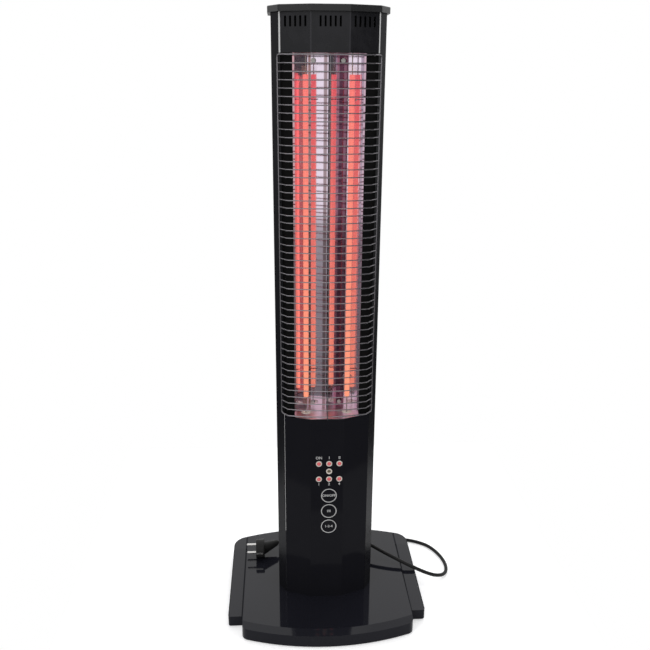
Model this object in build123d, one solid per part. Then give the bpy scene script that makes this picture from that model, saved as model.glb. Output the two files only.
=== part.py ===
from build123d import *
from math import cos, pi, radians, sin, tan
import os

# Infrared heater tower on a wide base. Millimetres, +Z up, the front faces -Y.
# The origin is on the floor under the middle of the base.

# ---- tower body ----
tower_width = 179.0
tower_back = 50.0            # back face, behind the origin
middle_facet_reach = 61.0    # middle front facet, in front of the origin
front_corner_reach = 43.0    # front corners, in front of the origin
profile_width = 14.0         # from the front corner to the flat side
fold_half = 29.5             # half the width of the middle facet
slant_end_reach = 20.0       # where the slanting side meets the flat side
back_corner_radius = 10.0
profile_wall = 2.0
panel_wall = 2.5
panel_return = 14.0          # depth of the side returns of a moulded panel
seam = 0.3                   # gap between a panel and a side profile
seat = 0.3                   # gap between pieces that are held by screws or clips

# ---- heights ----
foot_height = 3.0
base_height = 30.0
lower_panel_height = 374.0
window_height = 606.5
head_height = 58.0
cap_thickness = 9.5
sheet = 1.0                  # reflector and its end plates
back_sheet = 1.5

# ---- cap ----
cap_overhang_front = 5.0
cap_overhang_side = 5.0
cap_wall = 3.0
cap_edge = 1.5

# ---- head slots ----
slot_width = 3.0
slot_height = 15.0
slot_pitch = 7.5
slot_count = 5
slot_top_drop = 6.3          # below the cap

# ---- guard ----
guard_side_inset = 9.5       # upright frame wire from the flat side
guard_side_reach = 41.0
guard_kink_inset = 20.5      # bend of a guard wire from the flat side
guard_kink_reach = 54.5
guard_middle_reach = 64.0
guard_wire = 1.8
guard_frame_wire = 2.2
guard_overlap = 0.3          # depth of a weld between crossing wires
guard_intervals = 49
guard_top_drop = 2.5         # frame wire below the head
guard_bottom_rise = 6.5      # frame wire above the lower panel
guard_corner_radius = 4.0
guard_peg = 1.8
guard_peg_length = 9.0
guard_pegs_per_side = 4
peg_play = 0.3

# ---- reflector and heating tubes ----
reflector_half = 54.0
reflector_lip = 3.0
reflector_front_reach = 38.0
reflector_wall_half = 52.0   # foot of the steep outer wall
reflector_wall_reach = 12.0
left_valley = 34.0           # from the ridge
left_valley_reach = 6.0
right_valley = 26.0          # the right flank of the ridge is the steeper one
right_valley_reach = 4.0
ridge_reach = 17.0
end_plate_half = 57.0
tube_offset = 36.5
tube_reach = 30.0
tube_radius = 6.0
tube_wall = 1.0
tube_margin = 29.0           # end plate to the round part of a tube
pinch_length = 11.0
pinch_thickness = 3.0
filament_radius = 4.3
lead_radius = 0.9
lead_hole_radius = 9.0
lead_play = 0.05
terminal_height = 16.0
terminal_width = 26.0
terminal_depth = 24.0
clip_wire = 1.6
clip_inset = 40.0            # a tube clip from the end of the window
screw_offset = 24.0          # reflector screws beside the ridge
screw_inset = 10.0
spacer_radius = 5.0
screw_radius = 1.9
screw_head_radius = 3.6
screw_head = 1.8
strip_thickness = 1.2
strip_return = 16.0

# ---- heat shield and cut-out ----
shield_gap = 7.0             # beside the side profiles
shield_set = 20.0            # front face, behind the origin
shield_margin = 4.0
cutout_radius = 8.0
cutout_height = 9.0
cutout_drop = 70.0

# ---- back panels ----
louvre_width = 46.0
louvre_height = 3.0
louvre_pitch = 9.0
louvre_rows = 9
louvre_gap = 12.0            # between the two columns of louvres
louvre_margin = 34.0
panel_joint = 0.4
lip_height = 12.0            # lip of the upper back panel behind the lower cover
flange_width = 12.0
cover_wall = 2.5

# ---- controls on the lower panel ----
control_x = 3.8              # the controls stand a little right of the middle
lamp_pitch = 18.5
lamp_top_drop = 87.6         # upper lamps below the top of the lower panel
lamp_row_pitch = 15.6
bezel_radius = 5.3
bezel_inner_radius = 3.7
bezel_proud = 0.7
bezel_collar_radius = 6.4
bezel_collar = 1.2
receiver_radius = 3.5
receiver_set = 0.8
lamp_radius = 3.4
lamp_flange_radius = 4.2
lamp_flange = 1.0
button_radius = 14.6
button_gap = 0.3
button_drop = 153.2          # top button below the top of the lower panel
button_pitch = 32.5
button_proud = 0.4
button_depth = 3.2
button_collar = 1.2
button_collar_radius = 16.0
button_stem_radius = 3.0
button_travel = 0.8
board_set = 12.0             # control board behind the middle facet's inner face
board_thickness = 1.6
board_width = 56.0
board_height = 172.0
board_top_drop = 62.0
lamp_lead_half = 1.3
chip_half = 8.0
chip_height = 3.0
plug_row_half = 14.0
plug_row_height = 8.0
switch_size = 6.0
switch_height = 3.4
switch_stem_radius = 1.7
switch_stem = 1.2
post_radius = 3.2
small_screw_radius = 1.4
small_screw_head_radius = 2.7
small_screw_head = 1.6

# ---- power board on the lower back cover ----
power_width = 76.0
power_height = 150.0
power_drop = 214.0           # lower edge below the top of the lower panel
power_set = 14.0             # in front of the inside of the back cover
relay_width = 19.0
relay_height = 15.5
relay_depth = 15.5
relay_gap = 3.0
relay_count = 3
capacitor_radius = 8.0
capacitor_length = 22.0
terminal_block_width = 40.0
terminal_block_height = 14.0
terminal_block_depth = 14.0
terminal_ways = 5
supply_wire_radius = 1.3

# ---- mains rocker switch ----
rocker_x = 46.0
rocker_z = 128.0
rocker_half_width = 6.3
rocker_half_height = 11.0
rocker_tip = 7.5             # outer face of the rocker's ends from its pin
rocker_middle = 5.0
rocker_root = 3.0
rocker_tilt = 11.0           # degrees each way
rocker_play = 0.5
rocker_pin_radius = 1.2
rocker_pin_play = 0.06
rocker_body_wall = 2.0
rocker_body_depth = 16.0
rocker_bezel = 2.0
rocker_rim = 2.5

# ---- base ----
base_half_width = 185.0
base_reach = 165.0           # front and back of the base from the origin
base_center_half = 158.0     # half the width of the raised middle
front_bow = 28.0             # how far the front edge bows out over the raised middle
back_bow_radius = 517.0
base_front_corner = 15.0
base_back_corner = 32.0
wing_front_reach = 102.0
wing_front_height = 23.5
wing_corner = 5.0
wing_ceiling = 17.5          # inside of the base under the wings
wing_end = 97.0              # where the wing reaches the height of the middle
groove_width = 1.8           # groove along the wing beside the raised middle
groove_depth = 1.5
rim_width = 15.0
rim_drop = 4.0
base_wall = 3.0
base_edge = 1.5
bottom_thickness = 2.0
ballast_thickness = 6.0
ballast_half_width = 130.0
ballast_half_depth = 100.0
boss_radius = 7.0
base_bolt_radius = 3.0
bolt_play = 0.3
bolt_head_radius = 5.5
bolt_head = 4.0
bracket_thickness = 3.0
bracket_half_depth = 28.0
bracket_height = 90.0        # top of the side flanges above the floor
bracket_bolt_x = 50.0
bracket_bolt_y = 20.0
bracket_tab_half = 60.0
bracket_tab_height = 52.0    # top of the rear tab above the floor
cover_screw_x = 142.0
cover_screw_y = 84.0
foot_radius = 13.0
foot_x = 128.0
foot_y = 104.0
foot_stud_radius = 3.0

# ---- tip-over switch ----
plunger_radius = 3.0
plunger_play = 0.3
plunger_collar_radius = 5.0
plunger_collar = 2.0
plunger_travel = 5.0
plunger_y = -60.0
tip_box_half = 9.0
tip_box_height = 14.0
tip_box_wall = 1.5
tip_spring_wire = 0.6
tip_spring_turns = 5

# ---- screws of the case ----
case_screw_length = 8.0
board_screw_length = 6.0
shield_screw_inset = 30.0
lip_screw_x = 50.0
lip_screw_drop = 6.0         # below the top of the lower panel
tab_screw_rise = 12.0        # above the base
side_screw_y = 18.0
side_screw_z = 72.0

# ---- wiring inside ----
bundle_radius = 2.0
blade_width = 4.8
blade_thickness = 0.8
blade_length = 8.0
blade_half_pitch = 3.0
wire_lead = 14.0             # straight length where a wire leaves a part

# ---- mains cord and plug ----
cord_radius = 3.5
cord_clearance = 0.1         # between the cord and the floor
bend_share = 0.45            # part of the shorter run that a bend takes up
relief_x = -41.0
relief_z = 70.0
relief_length = 28.0
relief_root_radius = 6.5
relief_tip_radius = 4.6
relief_flange_radius = 9.0
relief_flange = 2.0
coil_x = 0.0
coil_y = 108.0
coil_radius = 41.5           # middle of the turns
coil_width = 14.0
coil_height = 14.0
plug_face_x = -137.0
plug_y = 70.5
plug_radius = 18.7
plug_disc = 17.0
plug_neck_x = -94.0
plug_neck_y = 86.0
plug_neck_rise = 2.0
plug_neck_radius = 6.0
plug_shoulder_radius = 13.0
pin_radius = 2.4
pin_length = 19.0
pin_pitch = 19.0
earth_width = 4.6
earth_thickness = 0.8
earth_length = 14.0

# ---- worked out from the above ----
side_half = tower_width / 2
front_corner_half = side_half - profile_width
guard_side_half = side_half - guard_side_inset
guard_kink_half = side_half - guard_kink_inset
shield_half = front_corner_half - shield_gap
panel_top = base_height + lower_panel_height
window_bottom = panel_top + sheet
window_top = window_bottom + window_height
head_top = window_top + head_height
panel_half = front_corner_half - seam
facet_slope = (middle_facet_reach - front_corner_reach) / (front_corner_half - fold_half)
inner_back = tower_back - cover_wall
tube_low = window_bottom + tube_margin
tube_high = window_top - tube_margin
guard_high = window_top - guard_top_drop
guard_low = panel_top + guard_bottom_rise
board_face = board_set + panel_wall - middle_facet_reach
power_base = panel_top - power_drop
top_lamp_z = panel_top - lamp_top_drop
top_button_z = panel_top - button_drop
ballast_low = foot_height + bottom_thickness
ballast_high = ballast_low + ballast_thickness
inside_top = base_height - base_wall
floor_rest = cord_radius + cord_clearance
outer_turn = coil_radius + cord_radius
coil_low_turn = base_height + seat + cord_radius
plug_heading = (0.912, 0.406, -0.05)


def front_y(x, shift=0.0):
    """y of the three-facet front at x, moved back by shift"""
    beyond = max(abs(x) - fold_half, 0.0)
    return shift - middle_facet_reach + facet_slope * beyond


def front_line(half, shift=0.0):
    """the four points of the front from left to right, cut off at half"""
    return [(x, front_y(x, shift)) for x in (-half, -fold_half, fold_half, half)]


def prism(points, low, high):
    """an upright solid over a plan outline"""
    return Pos(0, 0, low) * extrude(make_face(Polyline(*points, close=True)), high - low)


def block(x, y, z):
    """a box from its (low, high) limits on each axis"""
    size = [high - low for low, high in (x, y, z)]
    middle = [(high + low) / 2 for low, high in (x, y, z)]
    return Pos(*middle) * Box(*size)


def upright(radius, x, y, low, high):
    return Pos(x, y, (low + high) / 2) * Cylinder(radius, high - low)


def along_y(radius, x, z, front, back):
    return Pos(x, (front + back) / 2, z) * Rot(90, 0, 0) * Cylinder(radius, back - front)


def along_x(radius, y, z, low, high):
    return Pos((low + high) / 2, y, z) * Rot(0, 90, 0) * Cylinder(radius, high - low)


def front_band(half, front_shift, back_shift, low, high):
    """a wall that follows the three facets"""
    back = list(reversed(front_line(half, back_shift)))
    return prism(front_line(half, front_shift) + back, low, high)


def save(shape, name):
    export_step(Compound(children=list(shape.solids())), f"parts/{name}.step")


def mirrored(shape):
    return mirror(shape, Plane.YZ)


def pair(shape):
    """the shape and its mirror image, as two solids"""
    return Compound(children=list(shape.solids()) + list(mirrored(shape).solids()))


# ---- tower shell ----
def peg_heights():
    span = guard_high - guard_low - 2 * guard_corner_radius
    step = span / guard_pegs_per_side
    first = guard_low + guard_corner_radius + step / 2
    return [first + step * n for n in range(guard_pegs_per_side)]


def side_outline():
    """plan of the right side profile"""
    back, radius = tower_back, back_corner_radius
    front = (front_corner_half, -front_corner_reach)
    start, end = (side_half, back - radius), (side_half - radius, back)
    straight = Polyline((front_corner_half, back), front, (side_half, -slant_end_reach), start)
    closing = Line(end, (front_corner_half, back))
    return make_face(straight + RadiusArc(start, end, -radius) + closing)


def side_profile():
    outline = side_outline()
    hollow = offset(outline, -profile_wall, kind=Kind.INTERSECTION)
    tube = Pos(0, 0, base_height) * extrude(outline - hollow, head_top - base_height)
    holes = [
        along_y(guard_peg / 2 + peg_play, guard_side_half, z, -guard_side_reach, 0)
        for z in peg_heights()
    ]
    return tube - holes


def slots():
    """vertical slots through the three facets of the head"""
    high = head_top - slot_top_drop
    middle = (slot_count - 1) / 2
    facet_middle = (fold_half + front_corner_half) / 2
    centers = (-facet_middle, 0.0, facet_middle)
    cutters = []
    for center in centers:
        for n in range(slot_count):
            x = center + slot_pitch * (n - middle)
            y = front_y(x)
            cutters.append(block((x - slot_width / 2, x + slot_width / 2),
                                 (y - 4 * panel_wall, y + 4 * panel_wall),
                                 (high - slot_height, high)))
    return cutters


def side_returns(low, high):
    edge = front_y(panel_half)
    right = block((panel_half - panel_wall, panel_half), (edge, edge + panel_return), (low, high))
    return right + mirrored(right)


def head_fascia():
    wall = front_band(panel_half, 0, panel_wall, window_top, head_top)
    return wall + side_returns(window_top, head_top) - slots()


def cap_outline(grow_side, grow_front):
    half = side_half + grow_side
    corner = front_corner_half + grow_side / 2
    back = tower_back + grow_side
    bend = back_corner_radius
    return [
        (-fold_half, -middle_facet_reach - grow_front), (fold_half, -middle_facet_reach - grow_front),
        (corner, -front_corner_reach - grow_front), (half, -slant_end_reach),
        (half, back - bend), (half - bend, back),
        (bend - half, back), (-half, back - bend),
        (-half, -slant_end_reach), (-corner, -front_corner_reach - grow_front),
    ]


def top_cap():
    top = head_top + cap_thickness
    body = prism(cap_outline(cap_overhang_side, cap_overhang_front), head_top, top)
    body = fillet(body.edges().filter_by(Axis.Z), 2 * cap_edge)
    body = fillet(body.faces().sort_by(Axis.Z)[-1].edges(), cap_edge)
    half = front_corner_half - cap_wall
    front = front_line(half, panel_wall + cap_wall)
    inside = [(half, inner_back - cap_wall), (-half, inner_back - cap_wall)]
    return body - prism(front + inside, head_top, top - cap_wall)


# ---- lower panel and its controls ----
def lamp_places():
    rows = (top_lamp_z, top_lamp_z - 2 * lamp_row_pitch)
    columns = (-lamp_pitch, 0.0, lamp_pitch)
    return [(control_x + dx, z) for z in rows for dx in columns]


def receiver_place():
    return control_x, top_lamp_z - lamp_row_pitch


def button_heights():
    return [top_button_z - n * button_pitch for n in range(3)]


def lower_front_panel():
    wall = front_band(panel_half, 0, panel_wall, base_height, panel_top)
    panel = wall + side_returns(base_height, panel_top)
    ledge = front_band(panel_half, 0, middle_facet_reach - front_corner_reach + panel_return,
                       panel_top - panel_wall, panel_top)
    gap = block((-end_plate_half + panel_wall, end_plate_half - panel_wall),
                (-middle_facet_reach + 5 * panel_wall, tower_back), (panel_top - 2 * panel_wall, panel_top))
    panel += ledge - gap
    face = -middle_facet_reach
    reach = (face - panel_wall, face + 2 * panel_wall)
    for x, z in lamp_places() + [receiver_place()]:
        panel -= along_y(bezel_radius + seat, x, z, *reach)
    for z in button_heights():
        panel -= along_y(button_radius + button_gap, control_x, z, *reach)
    return panel


def lamp_bezel(x, z):
    face = -middle_facet_reach
    inside = face + panel_wall
    ring = along_y(bezel_radius, x, z, face - bezel_proud, inside)
    ring += along_y(bezel_collar_radius, x, z, inside, inside + bezel_collar)
    return ring - along_y(bezel_inner_radius, x, z, face - 2 * bezel_proud, inside + bezel_collar)


def lamp(x, z):
    """a domed lamp with two leads down to the control board"""
    face = -middle_facet_reach
    back = face + panel_wall + bezel_collar
    body = along_y(lamp_radius, x, z, face, back)
    body += Pos(x, face, z) * Sphere(lamp_radius)
    body += along_y(lamp_flange_radius, x, z, back, back + lamp_flange)
    for side in (-1, 1):
        body += along_y(lead_radius / 2, x + side * lamp_lead_half, z, back + lamp_flange, board_face)
    return body


def infrared_receiver():
    """a flatter dome than the lamps have, set back in its ring"""
    x, z = receiver_place()
    face = -middle_facet_reach
    back = face + panel_wall + bezel_collar
    front = face + receiver_set
    body = along_y(receiver_radius, x, z, front, back)
    body = fillet(body.faces().sort_by(Axis.Y)[0].edges(), receiver_set)
    body += along_y(lamp_flange_radius, x, z, back, back + lamp_flange)
    for side in (-1, 1):
        lead_x = x + side * lamp_lead_half
        body += along_y(lead_radius / 2, lead_x, z, back + lamp_flange, board_face)
    return body


def button(z):
    """a round key with a retaining collar and a stem"""
    face = -middle_facet_reach
    collar_front = face + panel_wall + button_gap
    key = along_y(button_radius, control_x, z, face - button_proud, collar_front)
    key = fillet(key.faces().sort_by(Axis.Y)[0].edges(), button_proud / 2)
    key += along_y(button_collar_radius, control_x, z, collar_front, collar_front + button_collar)
    hollow = button_radius - button_depth / 2
    key -= along_y(hollow, control_x, z, face + button_depth - 2 * button_proud, collar_front + button_collar)
    stem_end = board_face - switch_height - switch_stem - button_travel - button_gap / 3
    return key + along_y(button_stem_radius, control_x, z, face + button_depth / 2, stem_end)


def key_switch(z):
    body = block((control_x - switch_size / 2, control_x + switch_size / 2),
                 (board_face - switch_height, board_face), (z - switch_size / 2, z + switch_size / 2))
    return body + along_y(switch_stem_radius, control_x, z, board_face - switch_height - switch_stem,
                          board_face - switch_height)


def board_posts_places():
    low = panel_top - board_top_drop - board_height
    return [(control_x + side * (board_width / 2 - 2 * post_radius), z)
            for side in (-1, 1) for z in (low + 2 * post_radius, low + board_height - 2 * post_radius)]


def control_board():
    low = panel_top - board_top_drop - board_height
    board = block((control_x - board_width / 2, control_x + board_width / 2),
                  (board_face, board_face + board_thickness), (low, low + board_height))
    back = board_face + board_thickness
    chip_low = low + 4 * chip_half
    row_low = low + chip_half / 2
    chip = block((control_x - chip_half, control_x + chip_half), (back, back + chip_height),
                 (chip_low, chip_low + 2 * chip_half))
    plug_row = block((control_x - plug_row_half, control_x + plug_row_half),
                     (back, back + plug_row_height), (row_low, row_low + chip_half))
    for x, z in board_posts_places():
        board -= along_y(small_screw_radius + bolt_play, x, z, board_face - sheet, back + sheet)
    for x, z in lamp_places() + [receiver_place()]:
        board -= [along_y(lead_radius, x + side * lamp_lead_half, z, board_face - sheet, back + sheet)
                  for side in (-1, 1)]
    return board + chip + plug_row


def board_posts():
    """posts between the lower panel and the control board"""
    posts = []
    for x, z in board_posts_places():
        front = front_y(x, panel_wall) + facet_slope * post_radius
        core = along_y(small_screw_radius + bolt_play, x, z, board_face - 3 * post_radius, board_face)
        posts += (along_y(post_radius, x, z, front + seat, board_face) - core).solids()
    return Compound(children=posts)


def screw(x, z, face, length, toward=-1):
    """a pan-head screw along Y whose head's underside is at face; the shank runs toward -Y or +Y"""
    ends = sorted((face, face - toward * small_screw_head))
    head = along_y(small_screw_head_radius, x, z, *ends)
    shank = along_y(small_screw_radius, x, z, *sorted((face, face + toward * length)))
    return head + shank


# ---- heater ----
def reflector_line(thickness=0.0):
    """section of the reflector from lip to lip: its front, or its back at a thickness"""
    lip, half, foot = (reflector_half + reflector_lip, reflector_half + thickness,
                       reflector_wall_half + thickness)
    front, wall = thickness - reflector_front_reach, thickness - reflector_wall_reach
    return [
        (-lip, front), (-half, front), (-foot, wall), (-left_valley, thickness - left_valley_reach),
        (0.0, thickness - ridge_reach), (right_valley, thickness - right_valley_reach),
        (foot, wall), (half, front), (lip, front),
    ]


def reflector_y(x):
    """y of the reflector's front at x, between its outer walls"""
    floor = reflector_line()[2:-2]
    x = max(floor[0][0], min(x, floor[-1][0]))
    for (x0, y0), (x1, y1) in zip(floor, floor[1:]):
        if x0 <= x <= x1:
            return y0 + (y1 - y0) * (x - x0) / (x1 - x0)


def reflector():
    outline = reflector_line() + list(reversed(reflector_line(sheet)))
    body = prism(outline, window_bottom, window_top)
    for x, z in screw_places():
        body -= along_y(screw_radius + bolt_play, x, z, -reflector_front_reach, shield_set)
    for x, z in clip_places():
        body -= along_y(clip_wire / 2 + peg_play, x, z, -tube_reach, shield_set)
    return body


def screw_places():
    heights = (window_bottom + screw_inset, window_top - screw_inset)
    return [(side * screw_offset, z) for side in (-1, 1) for z in heights]


def clip_heights():
    return tube_low + clip_inset, tube_high - clip_inset


def clip_places():
    return [(side * tube_offset, z) for side in (-1, 1) for z in clip_heights()]


def end_plate(low, half, front_shift):
    plate = prism(front_line(half, front_shift) + [(half, shield_set - seat), (-half, shield_set - seat)],
                  low, low + sheet)
    for side in (-1, 1):
        plate -= upright(lead_hole_radius, side * tube_offset, -tube_reach, low - sheet, low + 2 * sheet)
    return plate


def quartz_tube(side):
    """clear tube with a flattened end and a lead in it at both ends"""
    x, y = side * tube_offset, -tube_reach
    outside = upright(tube_radius, x, y, tube_low, tube_high)
    half = tube_radius
    for end, direction in ((tube_low, -1), (tube_high, 1)):
        z = sorted((end, end + direction * pinch_length))
        outside += block((x - half, x + half), (y - pinch_thickness / 2, y + pinch_thickness / 2), z)
    inside = upright(tube_radius - tube_wall, x, y, tube_low + tube_wall, tube_high - tube_wall)
    passage = upright(lead_radius + lead_play, x, y, tube_low - 2 * pinch_length, tube_high + 2 * pinch_length)
    return outside - inside - passage


def filament(side):
    x, y = side * tube_offset, -tube_reach
    return upright(filament_radius, x, y, tube_low + 2 * tube_wall, tube_high - 2 * tube_wall)


def tube_leads():
    """bare leads from each end of a filament into its terminal"""
    leads = []
    for side in (-1, 1):
        x, y = side * tube_offset, -tube_reach
        low = window_bottom - sheet - terminal_height / 2
        high = window_top + sheet + terminal_height / 2
        leads += upright(lead_radius, x, y, low, tube_low + 2 * tube_wall).solids()
        leads += upright(lead_radius, x, y, tube_high - 2 * tube_wall, high).solids()
    return Compound(children=leads)


def terminal(side, face, direction):
    """ceramic terminal behind an end plate"""
    x, y = side * tube_offset, -tube_reach
    body = block((x - terminal_width / 2, x + terminal_width / 2),
                 (y - terminal_depth / 2, y + terminal_depth / 2),
                 sorted((face, face + direction * terminal_height)))
    return body - upright(lead_radius + seat, x, y, *sorted((face, face + direction * (terminal_height - clip_wire))))


def tube_clip(side, z):
    """spring wire that holds a tube from behind"""
    x, y = side * tube_offset, -tube_reach
    ring = Pos(x, y, z) * (Cylinder(tube_radius + seat + clip_wire, clip_wire)
                           - Cylinder(tube_radius + seat, 2 * clip_wire))
    opening = block((x - 2 * tube_radius, x + 2 * tube_radius), (y - 2 * tube_radius, y - tube_radius / 3),
                    (z - clip_wire, z + clip_wire))
    stem = along_y(clip_wire / 2, x, z, y + tube_radius + seat + clip_wire / 2, shield_set - seat)
    return ring - opening + stem


def blanking_strip():
    """black strip between the reflector and the right side profile"""
    front = -reflector_front_reach + sheet
    low, high = window_bottom, window_top
    face = block((reflector_half + sheet + seat, front_corner_half), (front, front + strip_thickness),
                 (low, high))
    back = block((front_corner_half - strip_thickness, front_corner_half), (front, front + strip_return),
                 (low, high))
    return face + back


def heat_shield():
    low, high = window_bottom + shield_margin, window_top - shield_margin
    web = block((-shield_half, shield_half), (shield_set, shield_set + sheet), (low, high))
    wing = block((shield_half - sheet, shield_half), (shield_set, tower_back - back_sheet), (low, high))
    inner = tower_back - back_sheet
    flange = block((shield_half - flange_width, shield_half), (inner - sheet, inner), (low, high))
    shield = web + wing + flange + mirrored(wing + flange)
    for x, z in screw_places():
        shield -= along_y(screw_radius + bolt_play, x, z, shield_set - sheet, shield_set + 2 * sheet)
    return shield - panel_screw_holes()


def reflector_screws():
    """screw and tubular spacer at each corner of the ridge"""
    screws, spacers = [], []
    for x, z in screw_places():
        front = min(reflector_y(x - screw_head_radius), reflector_y(x + screw_head_radius)) - seat
        screws += (along_y(screw_head_radius, x, z, front - screw_head, front)
                   + along_y(screw_radius, x, z, front, shield_set + 2 * sheet)).solids()
        behind = [y for corner, y in reflector_line() if abs(corner - x) < spacer_radius]
        behind += [reflector_y(x - spacer_radius), reflector_y(x + spacer_radius)]
        back = max(behind) + sheet
        spacers += (along_y(spacer_radius, x, z, back, shield_set)
                    - along_y(screw_radius + bolt_play, x, z, back - sheet, shield_set + sheet)).solids()
    return Compound(children=screws), Compound(children=spacers)


# ---- guard ----
def swept(path, radius):
    start = path.location_at(0)
    direction = path.tangent_at(0)
    plane = Plane(origin=start.position, z_dir=direction)
    return sweep(plane * Circle(radius), path=path, transition=Transition.ROUND)


def guard_side(side):
    """upright side of the frame, turned in at both ends"""
    kink = (side * guard_kink_half, -guard_kink_reach)
    post = (side * guard_side_half, -guard_side_reach)
    path = FilletPolyline((*kink, guard_high), (*post, guard_high), (*post, guard_low),
                          (*kink, guard_low), radius=guard_corner_radius)
    return swept(path, guard_frame_wire / 2)


def guard():
    kink = (guard_kink_half, -guard_kink_reach)
    bow_path = ThreePointArc((-kink[0], kink[1]), (0, -guard_middle_reach), kink)
    pitch = (guard_high - guard_low) / guard_intervals
    wire = swept(bow_path, guard_wire / 2)
    for side in (-1, 1):
        wire += swept(Line((side * kink[0], kink[1]), (side * guard_side_half, -guard_side_reach)),
                      guard_wire / 2)
        wire += Pos(side * kink[0], kink[1], 0) * Sphere(guard_wire / 2)
    bow = swept(bow_path, guard_frame_wire / 2)
    parts = [Pos(0, 0, guard_low + pitch * n) * wire for n in range(1, guard_intervals)]
    center_y = guard_wire - guard_overlap - guard_middle_reach
    parts.append(upright(guard_wire / 2, 0, center_y, panel_top, guard_high))
    for z in (guard_low, guard_high):
        parts.append(Pos(0, 0, z) * bow)
        parts += [Pos(side * kink[0], kink[1], z) * Sphere(guard_frame_wire / 2) for side in (-1, 1)]
    for side in (-1, 1):
        x, y = side * guard_side_half, -guard_side_reach
        parts.append(guard_side(side))
        parts += [along_y(guard_peg / 2, x, z, y, y + guard_peg_length) for z in peg_heights()]
    return parts[0].fuse(*parts[1:])


# ---- back of the tower ----
def louvres(base):
    """two columns of slots whose lowest row is at base"""
    cutters = []
    for row in range(louvre_rows):
        z = base + row * louvre_pitch
        for side in (-1, 1):
            x = side * (louvre_gap + louvre_width) / 2
            cutters.append(block((x - louvre_width / 2, x + louvre_width / 2),
                                 (inner_back - sheet, tower_back + sheet), (z, z + louvre_height)))
    return cutters


def panel_screw_places():
    heights = (window_bottom + shield_screw_inset, window_top - shield_screw_inset)
    return [(side * (shield_half - flange_width / 2), z) for side in (-1, 1) for z in heights]


def lip_screw_places():
    return [(side * lip_screw_x, panel_top - lip_screw_drop) for side in (-1, 1)]


def tab_screw_places():
    return [(side * lip_screw_x, base_height + tab_screw_rise) for side in (-1, 1)]


def screw_holes(places, front, back):
    return [along_y(small_screw_radius + bolt_play, x, z, front, back) for x, z in places]


def panel_screw_holes():
    return screw_holes(panel_screw_places(), shield_set + sheet, tower_back + sheet)


def back_returns(wall, low, high):
    half = front_corner_half - panel_joint
    right = block((half - wall, half), (tower_back - panel_return, tower_back), (low, high))
    return right + mirrored(right)


def upper_back_panel():
    half = front_corner_half - panel_joint
    low = panel_top + sheet + panel_joint
    panel = block((-half, half), (tower_back - back_sheet, tower_back), (low, head_top))
    panel += back_returns(back_sheet, low, head_top)
    lip_half = half - 3 * cover_wall
    lip_back = inner_back - seat
    lip_front = lip_back - back_sheet
    panel += block((-lip_half, lip_half), (lip_front, lip_back), (panel_top - lip_height, low + back_sheet))
    panel += block((-lip_half, lip_half), (lip_front, tower_back), (low, low + back_sheet))
    panel -= louvres(window_bottom + louvre_margin)
    panel -= louvres(head_top - louvre_margin - louvre_rows * louvre_pitch)
    panel -= screw_holes(lip_screw_places(), lip_front - sheet, lip_back + sheet)
    return panel - panel_screw_holes()


def power_posts_places():
    high = power_base + power_height
    return [(side * (power_width / 2 - 2 * post_radius), z)
            for side in (-1, 1) for z in (power_base + 2 * post_radius, high - 2 * post_radius)]


def lower_back_cover():
    half = front_corner_half - panel_joint
    cover = block((-half, half), (inner_back, tower_back), (base_height, panel_top + sheet))
    cover += back_returns(cover_wall, base_height, panel_top - 2 * lip_height)
    cover -= louvres(power_base + power_height - louvre_margin)
    cover -= block((rocker_x - switch_half_width() - seat, rocker_x + switch_half_width() + seat),
                   (inner_back - sheet, tower_back + sheet),
                   (rocker_z - switch_half_height() - seat, rocker_z + switch_half_height() + seat))
    cover -= along_y(relief_root_radius + seat, relief_x, relief_z, inner_back - sheet, tower_back + sheet)
    cover -= screw_holes(lip_screw_places() + tab_screw_places(), inner_back - sheet, tower_back + sheet)
    return cover


# ---- power board ----
power_front = inner_back - power_set - board_thickness


def power_board():
    back = power_front + board_thickness
    board = block((-power_width / 2, power_width / 2), (power_front, back),
                  (power_base, power_base + power_height))
    return board - screw_holes(power_posts_places(), power_front - sheet, back + sheet)


def power_posts():
    posts = []
    for x, z in power_posts_places():
        post = along_y(post_radius, x, z, power_front + board_thickness, inner_back)
        post -= along_y(small_screw_radius + bolt_play, x, z, power_front, power_front + power_set)
        posts += post.solids()
    return Compound(children=posts)


def relays():
    pitch = relay_width + relay_gap
    middle = (relay_count - 1) / 2
    low = power_base + power_height / 2
    return Compound(children=[
        block((pitch * (n - middle) - relay_width / 2, pitch * (n - middle) + relay_width / 2),
              (power_front - relay_height, power_front), (low, low + relay_depth))
        for n in range(relay_count)
    ])


def capacitor():
    z = power_base + power_height - 2 * relay_depth
    can = along_y(capacitor_radius, 0, z, power_front - capacitor_length, power_front)
    return fillet(can.faces().sort_by(Axis.Y)[0].edges(), sheet)


def terminal_block():
    low = power_base + 2 * relay_depth
    half = terminal_block_width / 2
    body = block((-half, half), (power_front - terminal_block_depth, power_front),
                 (low, low + terminal_block_height))
    pitch = terminal_block_width / terminal_ways
    for n in range(terminal_ways):
        x = pitch * (n + 0.5) - half
        z = low + terminal_block_height / 2
        body -= along_y(pitch / 4, x, z, power_front - 2 * terminal_block_depth,
                        power_front - terminal_block_depth / 2)
    return body


# ---- mains switch ----
rocker_y = tower_back + rocker_bezel - rocker_middle


def switch_half_width():
    return rocker_half_width + rocker_play + rocker_body_wall


def switch_swing():
    """half the height of the opening that the tilted rocker needs"""
    tilt = radians(rocker_tilt)
    return rocker_half_height * cos(tilt) + rocker_tip * sin(tilt) + rocker_play


def switch_half_height():
    return switch_swing() + rocker_body_wall


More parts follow.
